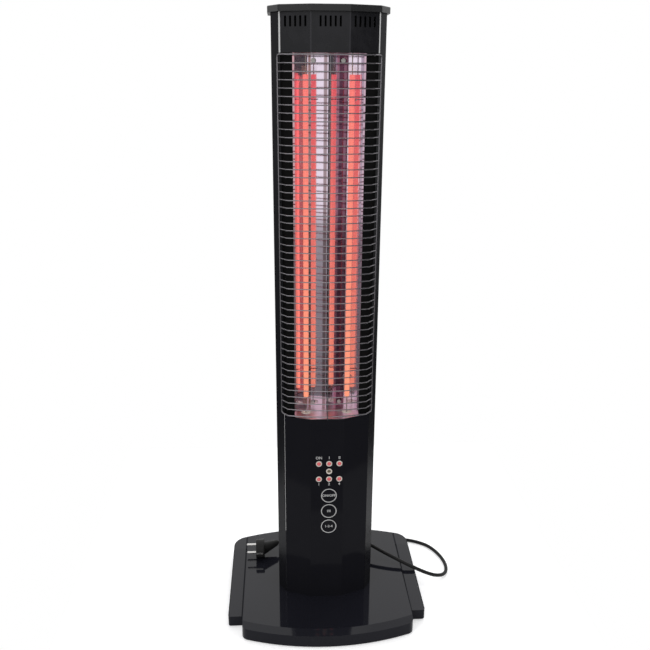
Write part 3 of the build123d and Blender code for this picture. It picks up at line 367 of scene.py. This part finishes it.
def makeKeyLegend(body, node, text):
    low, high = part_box(node)
    x, z = (low[0] + high[0]) / 2, (low[2] + high[2]) / 2
    ring = makeRing(x, low[1], z, f"{body}Ring")
    word = makeWord(text, legend["wordSize"], x, low[1], z, f"{body}Word")
    piece = joinPieces([ring, word], "legend" + node.split("_")[1].title())
    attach(piece, body)
    return piece


def makeLampLegend():
    s = legend
    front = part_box("lower_front_panel")[0][1]
    marks = []
    for words, z in ((s["marksAbove"], s["upperRow"] + s["markRise"]),
                     (s["marksBelow"], s["lowerRow"] - s["markDrop"])):
        for n, text in enumerate(words):
            x = s["middle"] + (n - 1) * s["lampPitch"]
            marks.append(makeWord(text, s["markSize"], x * mm, front, z * mm, f"mark{text}"))
    piece = joinPieces(marks, "legendLamps")
    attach(piece, "heater")
    return piece


legends = [makeKeyLegend(*row) for row in legend["keys"]] + [makeLampLegend()]
print("legends printed:", len(legends))

studio = {  # metres; the room's limits are parts of a ray's direction
    "floorWidth": 1.9, "floorDepth": 1.8, "floorMiddle": 0.1, "floorColour": (0.84, 0.84, 0.85),
    "floorRoughness": 0.8, "floorSpecular": 0.1,
    "floorLighter": 1.02, "floorGrain": 60.0, "floorGlow": 0.42,
    "worldLight": 0.5,
    "roomLevel": 0.9, "roomMiddle": 0.32, "roomBelow": 0.12, "roomSide": 0.07, "roomBehind": 1.0,
    "belowToMiddle": (-0.45, -0.2), "middleToLevel": (-0.215, -0.165),
    "leftEdge": (-0.85, -0.68), "rightEdge": (0.12, 0.45),
    "behindFrom": (0.05, 0.45), "behindHeight": (-0.35, 0.05), "behindLow": 0.1,
    "lamps": [  # name, place, aim, size, power in watts
        ("keyLeft", (-1.5, -1.9, 1.9), (0, 0, 0.55), 1.0, 22.0),
        ("fillRight", (1.7, -1.2, 1.5), (0, 0, 0.5), 1.0, 9.0),
        ("topSoft", (0.0, 0.3, 2.6), (0, 0, 0.2), 1.6, 16.0),
        ("backSoft", (0.6, 1.9, 1.5), (0, 0, 0.5), 1.0, 12.0),
    ],
}


def makeFloor():  # pale and plain; it glows a little, but only where it is seen
    s = studio
    clearSelection()
    bpy.ops.mesh.primitive_plane_add(size=1.0, location=(0, s["floorMiddle"], 0),
                                     scale=(s["floorWidth"], s["floorDepth"], 1.0))
    floor = settle(bpy.context.object, "studioFloor")
    shader = Shader("studioFloor", Roughness=s["floorRoughness"],
                    Specular_IOR_Level=s["floorSpecular"])
    colour = s["floorColour"]
    grain = shader.noise(s["floorGrain"], cloudDetail)
    shader.set("Base Color", shader.mixColour(grain, colour, scaled(colour, s["floorLighter"])))
    camera, mirrored = shader.seenRays()
    glow = shader.add("ShaderNodeEmission", None, {
        "Color": opaque(white), "Strength": camera.highest(mirrored) * s["floorGlow"]})
    total = shader.add("ShaderNodeAddShader", None, [Value(shader, shader.main.outputs[0]), glow])
    shader.tree.links.new(total.socket, shader.tree.nodes["Material Output"].inputs["Surface"])
    floor.data.materials.append(shader.material)


def roomStrength(graph):  # what is mirrored: bright at the front left and behind, dim below
    s = studio
    x, y, z = graph.axes()
    low = graph.span(z, s["belowToMiddle"], s["roomBelow"], s["roomMiddle"])
    height = low.highest(graph.span(z, s["middleToLevel"], 0.0, s["roomLevel"]))
    side = s["roomSide"] / s["roomLevel"]
    front = graph.span(x, s["leftEdge"], side, 1.0) * graph.span(x, s["rightEdge"], 1.0, side)
    behind = (graph.span(y, s["behindFrom"], 0.0, s["roomBehind"])
              * graph.span(z, s["behindHeight"], s["behindLow"], 1.0))
    return (height * front).highest(behind)


def makeWorld():  # the camera sees plain white, mirrors see the room, the rest is even light
    world = bpy.data.worlds.new("studioWorld")
    world.use_nodes = True
    bpy.context.scene.world = world
    graph = Graph(world.node_tree)
    camera, mirrored = graph.seenRays()
    seen = camera + (1.0 - camera) * mirrored * roomStrength(graph)
    strength = seen + (1.0 - camera.highest(mirrored)) * studio["worldLight"]
    background = graph.tree.nodes["Background"]
    background.inputs["Color"].default_value = opaque(white)
    graph.tree.links.new(strength.socket, background.inputs["Strength"])


def makeLamps():  # soft lamps that leave no bright squares on the gloss
    for name, place, aim, size, power in studio["lamps"]:
        data = bpy.data.lights.new(name, "AREA")
        data.energy, data.size = power, size
        lamp = bpy.data.objects.new(name, data)
        bpy.context.scene.collection.objects.link(lamp)
        lamp.rotation_mode = "QUATERNION"
        lamp.location = place
        lamp.rotation_quaternion = (Vector(aim) - Vector(place)).to_track_quat("-Z", "Y")
        lamp.visible_glossy = False


makeFloor()
makeWorld()
makeLamps()
bpy.context.scene.view_settings.view_transform = "Standard"
print("studio lit")


def fillSlots(names, material):
    for name in names:
        piece = nodes[name]
        if not piece.material_slots:
            piece.data.materials.append(material)
        for place in piece.material_slots:
            place.material = material


finishes = {  # noise sizes per metre, then what the noise does to colour, roughness and relief
    "gloss": {"cloud": 14.0, "dust": 900.0, "dusty": 0.74, "dustRougher": 0.08, "peel": 240.0,
              "lighter": 1.25, "rougher": 0.03, "relief": 0.02},
    "matte": {"cloud": 20.0, "grain": 1400.0, "lighter": 1.3, "rougher": 0.12, "relief": 0.25},
    "satin": {"cloud": 20.0, "grain": 1400.0, "lighter": 1.3, "rougher": 0.12, "relief": 0.15},
    "ceramic": {"cloud": 20.0, "grain": 900.0, "lighter": 1.3, "rougher": 0.12, "relief": 0.1},
    "powder": {"cloud": 9.0, "grain": 700.0, "lighter": 1.25, "rougher": 0.08, "relief": 0.08},
    "rubber": {"cloud": 60.0, "grain": 1600.0, "lighter": 1.5, "rougher": 0.15, "relief": 0.2},
    "metal": {"cloud": 30.0, "lines": 120.0, "stretch": (1.0, 1.0, 0.025),
              "darker": 0.8, "rougher": 0.12, "relief": 0.06},
    "ink": {"grain": 400.0, "darker": 0.8, "roughness": 0.6, "specular": 0.2},
    "grainDepth": 0.0002,
}


def coated(name, kind, colour, roughness, specular):  # cloudy colour with a fine grain
    f = finishes[kind]
    shader = Shader(name, Specular_IOR_Level=specular)
    cloud = shader.noise(f["cloud"], cloudDetail)
    grain = shader.noise(f["grain"])
    shader.set("Base Color", shader.mixColour(cloud, colour, scaled(colour, f["lighter"])))
    shader.set("Roughness", roughness + grain * f["rougher"])
    shader.bump(grain, f["relief"], finishes["grainDepth"])
    return shader.material


def mouldedMatte(name, colour, roughness=0.55, specular=0.3):  # spark texture of a moulding
    return coated(name, "matte", colour, roughness, specular)


def powderCoat(name, colour, roughness=0.42, specular=0.3):  # baked coat on sheet steel
    return coated(name, "powder", colour, roughness, specular)


def rubberSheath(name, colour, roughness=0.5, specular=0.3):
    return coated(name, "rubber", colour, roughness, specular)


def polish(shader, colour, roughness):  # polished moulding: faint peel, a little dust
    f = finishes["gloss"]
    cloud = shader.noise(f["cloud"], cloudDetail)
    dust = shader.noise(f["dust"]) > f["dusty"]
    shader.set("Base Color", shader.mixColour(cloud, colour, scaled(colour, f["lighter"])))
    shader.set("Roughness", roughness + cloud * f["rougher"] + dust * f["dustRougher"])
    shader.bump(shader.noise(f["peel"]), f["relief"])


def mouldedGloss(name, colour, roughness, specular=0.3):
    shader = Shader(name, Specular_IOR_Level=specular)
    polish(shader, colour, roughness)
    return shader.material


def brightMetal(name, colour, roughness=0.25):  # drawn or rolled metal
    f = finishes["metal"]
    shader = Shader(name, Metallic=1.0)
    lines = shader.noise(f["lines"], cloudDetail, scale=f["stretch"])
    cloud = shader.noise(f["cloud"], cloudDetail)
    shader.set("Base Color", shader.mixColour(cloud, colour, scaled(colour, f["darker"])))
    shader.set("Roughness", roughness + lines * f["rougher"])
    shader.bump(lines, f["relief"], finishes["grainDepth"])
    return shader.material


def printInk(name, colour):
    f = finishes["ink"]
    shader = Shader(name, Roughness=f["roughness"], Specular_IOR_Level=f["specular"])
    grain = shader.noise(f["grain"])
    shader.set("Base Color", shader.mixColour(grain, colour, scaled(colour, f["darker"])))
    return shader.material


baseLook = {  # metres
    "colour": (0.0092, 0.0094, 0.0132), "roughness": 0.07, "specular": 0.06,
    "coat": 0.66, "coatLeast": 0.05, "coatRoughness": 0.05, "facing": (0.1, 0.8),
    "groove": (0.1568, 0.1606), "grooveEdge": 0.0006, "rim": (0.1832, 0.1842), "unpolished": 0.92,
    "under": grey(0.012), "iron": grey(0.12), "ironRoughness": 0.55, "feet": grey(0.014),
    "acetal": (0.6, 0.58, 0.52), "nylon": grey(0.015),
}


def polishedTop(name):  # the top is polished, its grooves, rim and sides are left as moulded
    s = baseLook
    shader = Shader(name, Specular_IOR_Level=s["specular"], Coat_Roughness=s["coatRoughness"])
    across = shader.axes()[0].size()
    (left, right), edge = s["groove"], s["grooveEdge"]
    groove = (shader.span(across, (left, left + edge))
              * shader.span(across, (right - edge, right), 1.0, 0.0))
    matt = groove.highest(shader.span(across, s["rim"]))
    upward = shader.span(shader.normals()[2], s["facing"], s["coatLeast"], s["coat"])
    polish(shader, s["colour"], s["roughness"])
    shader.set("Coat Weight", upward * (1.0 - matt * s["unpolished"]))
    return shader.material


def dressBase():
    s = baseLook
    fillSlots(["base_cover"], polishedTop("basePolished"))
    fillSlots(["base_bottom_cover"], mouldedMatte("baseUnderside", s["under"]))
    fillSlots(["ballast_plate"], brightMetal("ballastIron", s["iron"], s["ironRoughness"]))
    fillSlots(["rubber_feet"], rubberSheath("footRubber", s["feet"]))
    fillSlots(["tip_plunger"], mouldedMatte("acetal", s["acetal"]))
    fillSlots(["tip_switch_housing", "key_switches", "board_posts", "power_board_posts"],
              mouldedMatte("blackNylon", s["nylon"]))


towerLook = {  # metres; each gloss is a roughness and a specular level
    "profile": (0.0072, 0.0073, 0.0092), "profileGloss": (0.22, 0.035), "profileRelief": 0.06,
    "edgeOuter": 0.0776, "edgeLow": 1.0118, "edgeBack": -0.036,
    "edgeHighlightColour": grey(0.62), "edgeHighlightMetal": 0.45, "edgeHighlightRougher": 0.1,
    "fascia": (0.010, 0.010, 0.012), "fasciaGloss": (0.2, 0.25),
    "foldHalf": 0.0295, "foldFade": (0.0004, 0.0013), "foldHighlightAndSmudgeColour": (0.034, 0.033, 0.038),
    "foldHighlightShare": 0.8, "smudgeSize": 26.0, "smudgeDetail": 4.0, "smudgeBreakUp": 0.6,
    "smudgeStretch": (1.0, 1.0, 0.7),
    "smudgeFade": (0.45, 0.75), "smudgeShare": 0.35, "smudgeRougher": 0.12,
    "cap": (0.017, 0.017, 0.018), "capGloss": (0.3, 0.4), "back": grey(0.012),
    "panel": (0.0088, 0.0088, 0.0112), "panelGloss": (0.06, 0.03),
    "strip": grey(0.004), "stripGloss": (0.5, 0.1),
    "zincScrew": (0.55, 0.54, 0.52), "blackScrew": grey(0.03), "zincSheet": grey(0.5),
    "sheetRoughness": 0.35, "spring": grey(0.5),
}


def edgedProfile(name):  # painted highlight: a light, partly metallic stripe on the front corner beside the head stands in for light caught by the rounded edge
    s, f = towerLook, finishes["powder"]
    roughness, specular = s["profileGloss"]
    shader = Shader(name, Specular_IOR_Level=specular)
    x, y, z = shader.axes()
    peel = shader.noise(f["grain"])
    cloud = shader.noise(f["cloud"], cloudDetail)
    # painted highlight along the front corner of the profile
    paintedEdgeHighlight = (x.size() < s["edgeOuter"]) * (z > s["edgeLow"]) * (y < s["edgeBack"])
    coat = shader.mixColour(cloud, s["profile"], scaled(s["profile"], f["lighter"]))
    shader.set("Base Color", shader.mixColour(paintedEdgeHighlight, coat, s["edgeHighlightColour"]))
    shader.set("Metallic", paintedEdgeHighlight * s["edgeHighlightMetal"])
    shader.set("Roughness", roughness + peel * f["rougher"] + paintedEdgeHighlight * s["edgeHighlightRougher"])
    shader.bump(peel, s["profileRelief"], finishes["grainDepth"])
    return shader.material


def foldedSheet(name):  # gloss coat with lighter smudges, and a painted highlight: a lighter line along each fold
    s, f = towerLook, finishes["powder"]
    roughness, specular = s["fasciaGloss"]
    shader = Shader(name, Specular_IOR_Level=specular)
    x = shader.axes()[0]
    peel = shader.noise(f["grain"])
    smears = shader.noise(s["smudgeSize"], s["smudgeDetail"], s["smudgeBreakUp"],
                          s["smudgeStretch"])
    smudge = shader.span(smears, s["smudgeFade"])
    # painted highlight: lighter colour along the folds either side of the middle facet
    foldHighlight = shader.span((x.size() - s["foldHalf"]).size(), s["foldFade"], 1.0, 0.0)
    highlightAndSmudge = foldHighlight * s["foldHighlightShare"] + smudge * s["smudgeShare"]
    shader.set("Base Color", shader.mixColour(highlightAndSmudge, s["fascia"], s["foldHighlightAndSmudgeColour"]))
    shader.set("Roughness", roughness + peel * f["rougher"] + smudge * s["smudgeRougher"])
    shader.bump(peel, f["relief"], finishes["grainDepth"])
    return shader.material


def dressTower():
    s = towerLook
    fillSlots(["side_profile_left", "side_profile_right"], edgedProfile("profileCoat"))
    fillSlots(["head_fascia"], foldedSheet("fasciaGloss"))
    fillSlots(["top_cap"], coated("capSatin", "satin", s["cap"], *s["capGloss"]))
    fillSlots(["upper_back_panel"], powderCoat("backCoat", s["back"]))
    fillSlots(["lower_back_cover"], mouldedMatte("backCover", s["back"]))
    fillSlots(["lower_front_panel"], mouldedGloss("panelGloss", s["panel"], *s["panelGloss"]))
    # painted shade: near-black strips fill the recessed gaps beside the reflector, their black
    # standing in for the shade there
    fillSlots(["blanking_strip_left", "blanking_strip_right"],
              powderCoat("gapStripShade", s["strip"], *s["stripGloss"]))
    fillSlots(["base_screws", "column_bolts", "board_screws", "reflector_screws"],
              brightMetal("zincScrew", s["zincScrew"]))
    fillSlots(["case_screws"], brightMetal("blackScrew", s["blackScrew"], s["sheetRoughness"]))
    fillSlots(["column_bracket", "heat_shield", "reflector_spacers"],
              brightMetal("zincSheet", s["zincSheet"], s["sheetRoughness"]))
    fillSlots(["tip_spring", "tube_clips"], brightMetal("springWire", s["spring"]))


windowLook = {  # metres; the painted reflection bands are in millimetres across the sheet, each with its colour
    "sheet": (0.91, 0.81, 0.93), "sheetTint": (0.84, 0.71, 0.85), "sheetRoughness": 0.05,
    "plate": (0.92, 0.72, 0.76), "plateDarker": 0.8, "plateRoughness": 0.3,
    "wave": 16.0, "waveStretch": (1.0, 1.0, 0.25), "tint": 9.0, "tintStretch": (3.0, 3.0, 0.6),
    "brushing": 500.0, "brushStretch": (1.0, 1.0, 0.1), "brushRougher": 0.06,
    "crumpleHeight": (0.955, 0.99), "crumpleLeft": (-0.035, -0.045), "crumpleSize": 120.0,
    "crumple": 8.0, "relief": 0.08, "depth": 0.002,
    "bandEdge": 0.0008,
    # painted reflections: lighter and darker bands standing in for what the mirror reflects
    "paintedReflectionBands": [
        (-60.0, -53.3, (0.62, 0.38, 0.42)), (-31.5, -27.3, (0.32, 0.19, 0.19)),
        (-7.0, -1.5, (0.38, 0.28, 0.31)), (14.4, 18.0, (0.72, 0.40, 0.48)),
        (18.0, 32.6, (0.24, 0.11, 0.16)), (53.3, 60.0, (0.62, 0.44, 0.54)),
    ],
    # painted light: an emitting band on the reflector standing in for the left tube's reflected
    # glow
    "paintedGlowBands": [(-50.0, -40.0, (0.34, 0.05, 0.05))], "glowEnd": 0.004,
    "glowFrom": 0.434, "glowTo": 0.98,
    "glowBelow": (0.97, 0.33, 0.19), "glowAbove": (0.86, 0.15, 0.16),
    "wirePitch": 0.0024, "wireBright": 1.15, "wireDim": 0.8, "coldWire": (0.3, 0.1, 0.06),
    "wireRelief": 0.4, "wireDepth": 0.0008, "wireRoughness": 0.6, "glowStrength": 1.0,
    "quartz": (0.9, 0.4, 0.3), "quartzRoughness": 0.04, "quartzIndex": 1.45,
    "quartzAlpha": 0.06, "haze": 40.0, "hazeStretch": (1.0, 1.0, 0.2), "hazeAlpha": 0.06,
    "lead": (0.6, 0.55, 0.5), "ceramic": (0.75, 0.72, 0.64), "ceramicGloss": (0.4, 0.3),
    "wire": (0.43, 0.41, 0.44), "guardRoughness": 0.28, "phenolic": (0.05, 0.035, 0.025),
}


def paintedBands(shader, x, colour, bands):  # upright bands of painted colour beside the tubes, standing in for reflections
    for left, right, own in bands:
        inside = shader.band(x, left * mm, right * mm, windowLook["bandEdge"])
        colour = shader.mixColour(inside, colour, own)
    return colour


def reflectorMirror(name, colour, tint, roughness, withPaintedReflections=False):  # rolled sheet, a little wavy
    s = windowLook
    shader = Shader(name, Metallic=1.0)
    x, y, z = shader.axes()
    wave = shader.noise(s["wave"], scale=s["waveStretch"])
    cloud = shader.noise(s["tint"], cloudDetail, scale=s["tintStretch"])
    brushing = shader.noise(s["brushing"], scale=s["brushStretch"])
    sheet = shader.mixColour(cloud, colour, tint)
    if withPaintedReflections:  # painted reflection bands, light and dark, and one painted glow band that stands in for the reflected glow of the left tube along its length
        noPaintedGlow = (0.0, 0.0, 0.0)
        sheet = paintedBands(shader, x, sheet, s["paintedReflectionBands"])
        beside = (shader.span(z, (s["glowFrom"], s["glowFrom"] + s["glowEnd"]))
                  * shader.span(z, (s["glowTo"] - s["glowEnd"], s["glowTo"]), 1.0, 0.0))
        glow = paintedBands(shader, x, noPaintedGlow, s["paintedGlowBands"])
        # painted light: the reflector glows in this band though it is no lamp
        shader.set("Emission Color", shader.mixColour(beside, noPaintedGlow, glow))
        shader.set("Emission Strength", s["glowStrength"])
    shader.set("Base Color", sheet)
    shader.set("Roughness", roughness + brushing * s["brushRougher"])
    crumpled = shader.span(z, s["crumpleHeight"]) * shader.span(x, s["crumpleLeft"])
    creases = crumpled * shader.noise(s["crumpleSize"], cloudDetail) * s["crumple"]
    shader.bump(wave + creases, s["relief"], s["depth"])
    return shader.material


def heatingCoil(name, middle):  # close-wound glowing wire, orange below and rose above
    s = windowLook
    shader = Shader(name, Roughness=s["wireRoughness"])
    x, y, z = shader.axes()
    angle = (y - middle[1]).angleTo(x - middle[0])
    turns = z / s["wirePitch"] + angle / (2 * math.pi)
    wire = (turns * (2 * math.pi)).sine() * 0.5 + 0.5  # 1 on a turn's crest, 0 between turns
    height = shader.span(z, (s["glowFrom"], s["glowTo"]))
    dim, bright = (shader.ramp(height, [(0.0, scaled(s["glowBelow"], level)),
                                        (1.0, scaled(s["glowAbove"], level))])
                   for level in (s["wireDim"], s["wireBright"]))
    shader.set("Base Color", s["coldWire"])
    shader.set("Emission Color", shader.mixColour(wire, dim, bright))
    shader.set("Emission Strength", s["glowStrength"])
    shader.bump(wire, s["wireRelief"], s["wireDepth"])
    return shader.material


def quartzGlass(name):  # nearly clear, with a faint haze
    s = windowLook
    shader = Shader(name, Roughness=s["quartzRoughness"], IOR=s["quartzIndex"])
    haze = shader.noise(s["haze"], cloudDetail, scale=s["hazeStretch"])
    shader.set("Base Color", s["quartz"])
    shader.set("Alpha", s["quartzAlpha"] + haze * s["hazeAlpha"])
    return shader.material


def dressWindow():
    s = windowLook
    fillSlots(["reflector"], reflectorMirror("reflectorMirror", s["sheet"], s["sheetTint"],
                                             s["sheetRoughness"], withPaintedReflections=True))
    fillSlots(["reflector_floor_plate", "reflector_top_plate"],
              reflectorMirror("plateMirror", s["plate"], scaled(s["plate"], s["plateDarker"]),
                              s["plateRoughness"]))
    for side in ("left", "right"):
        low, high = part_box(f"filament_{side}")
        fillSlots([f"filament_{side}"], heatingCoil("heatingCoil" + side.title(), (low + high) / 2))
    fillSlots(["quartz_tube_left", "quartz_tube_right"], quartzGlass("quartz"))
    fillSlots(["tube_leads"], brightMetal("nickelLead", s["lead"]))
    fillSlots(["ceramic_terminals"],
              coated("steatite", "ceramic", s["ceramic"], *s["ceramicGloss"]))
    fillSlots(["guard"], brightMetal("guardWire", s["wire"], s["guardRoughness"]))
    fillSlots(["thermal_cutout"], mouldedMatte("phenolic", s["phenolic"]))


controlLook = {
    "key": (0.0084, 0.0084, 0.0108), "keyGloss": (0.08, 0.03), "ink": grey(0.58),
    "bezel": (0.72, 0.66, 0.60), "bezelRoughness": 0.25,
    "lamp": (0.72, 0.14, 0.15), "lampRoughness": 0.12,
    "receiver": (0.16, 0.14, 0.10), "receiverRoughness": 0.15,
}


def dressControls():
    s = controlLook
    fillSlots(["button_power", "button_level", "button_timer"],
              mouldedGloss("buttonGloss", s["key"], *s["keyGloss"]))
    fillSlots(["lamp_bezels"], mouldedGloss("bezelCream", s["bezel"], s["bezelRoughness"]))
    fillSlots(["status_lamps"], mouldedGloss("lampLens", s["lamp"], s["lampRoughness"]))
    fillSlots(["infrared_receiver"],
              mouldedGloss("receiverLens", s["receiver"], s["receiverRoughness"]))
    ink = printInk("legendInk", s["ink"])
    for piece in legends:
        piece.data.materials.clear()
        piece.data.materials.append(ink)


boardLook = {
    "board": (0.02, 0.12, 0.05), "tracks": (0.08, 0.33, 0.14), "trackSize": 220.0,
    "trackDetail": 0.0, "trackStretch": (1.0, 1.0, 0.3), "trackFrom": 0.55, "trackShare": 0.5,
    "weave": 1200.0, "weaveRelief": 0.1, "boardRoughness": 0.45,
    "relay": (0.02, 0.06, 0.3), "sleeve": (0.02, 0.02, 0.05), "sleeveRoughness": 0.3,
    "terminal": (0.05, 0.2, 0.07), "wires": (0.4, 0.37, 0.31), "switch": grey(0.012),
    "rocker": (0.4, 0.01, 0.008), "rockerRoughness": 0.2,
}


def circuitBoard(name):
    s = boardLook
    shader = Shader(name, Roughness=s["boardRoughness"])
    pattern = shader.noise(s["trackSize"], s["trackDetail"], scale=s["trackStretch"])
    tracks = pattern > s["trackFrom"]
    shader.set("Base Color", shader.mixColour(tracks * s["trackShare"], s["board"], s["tracks"]))
    shader.bump(shader.noise(s["weave"]), s["weaveRelief"], finishes["grainDepth"])
    return shader.material


def dressElectrics():
    s = boardLook
    fillSlots(["control_board", "power_board"], circuitBoard("circuitBoard"))
    fillSlots(["relays"], mouldedMatte("relayBlue", s["relay"]))
    fillSlots(["capacitor"], mouldedGloss("capacitorSleeve", s["sleeve"], s["sleeveRoughness"]))
    fillSlots(["terminal_block"], mouldedMatte("terminalGreen", s["terminal"]))
    fillSlots(["internal_wires"], rubberSheath("sleeving", s["wires"]))
    fillSlots(["mains_switch_body"], mouldedMatte("switchNylon", s["switch"]))
    fillSlots(["mains_rocker"], mouldedGloss("rockerRed", s["rocker"], s["rockerRoughness"]))


cordLook = {
    "sheath": grey(0.010), "sheathGloss": (0.4, 0.2),
    "plug": grey(0.016), "plugGloss": (0.38, 0.15), "relief": grey(0.012),
    "pin": (0.85, 0.84, 0.82), "pinRoughness": 0.2,
}


def dressCord():
    s = cordLook
    fillSlots(["strain_relief"], rubberSheath("reliefRubber", s["relief"]))
    fillSlots(["plug_body"], rubberSheath("plugRubber", s["plug"], *s["plugGloss"]))
    fillSlots(["plug_pins", "plug_earth_clips"],
              brightMetal("nickelPin", s["pin"], s["pinRoughness"]))
    mainsCord.data.materials.append(rubberSheath("cordRubber", s["sheath"], *s["sheathGloss"]))


dressBase()
dressTower()
dressWindow()
dressControls()
dressElectrics()
dressCord()
print("nodes dressed")
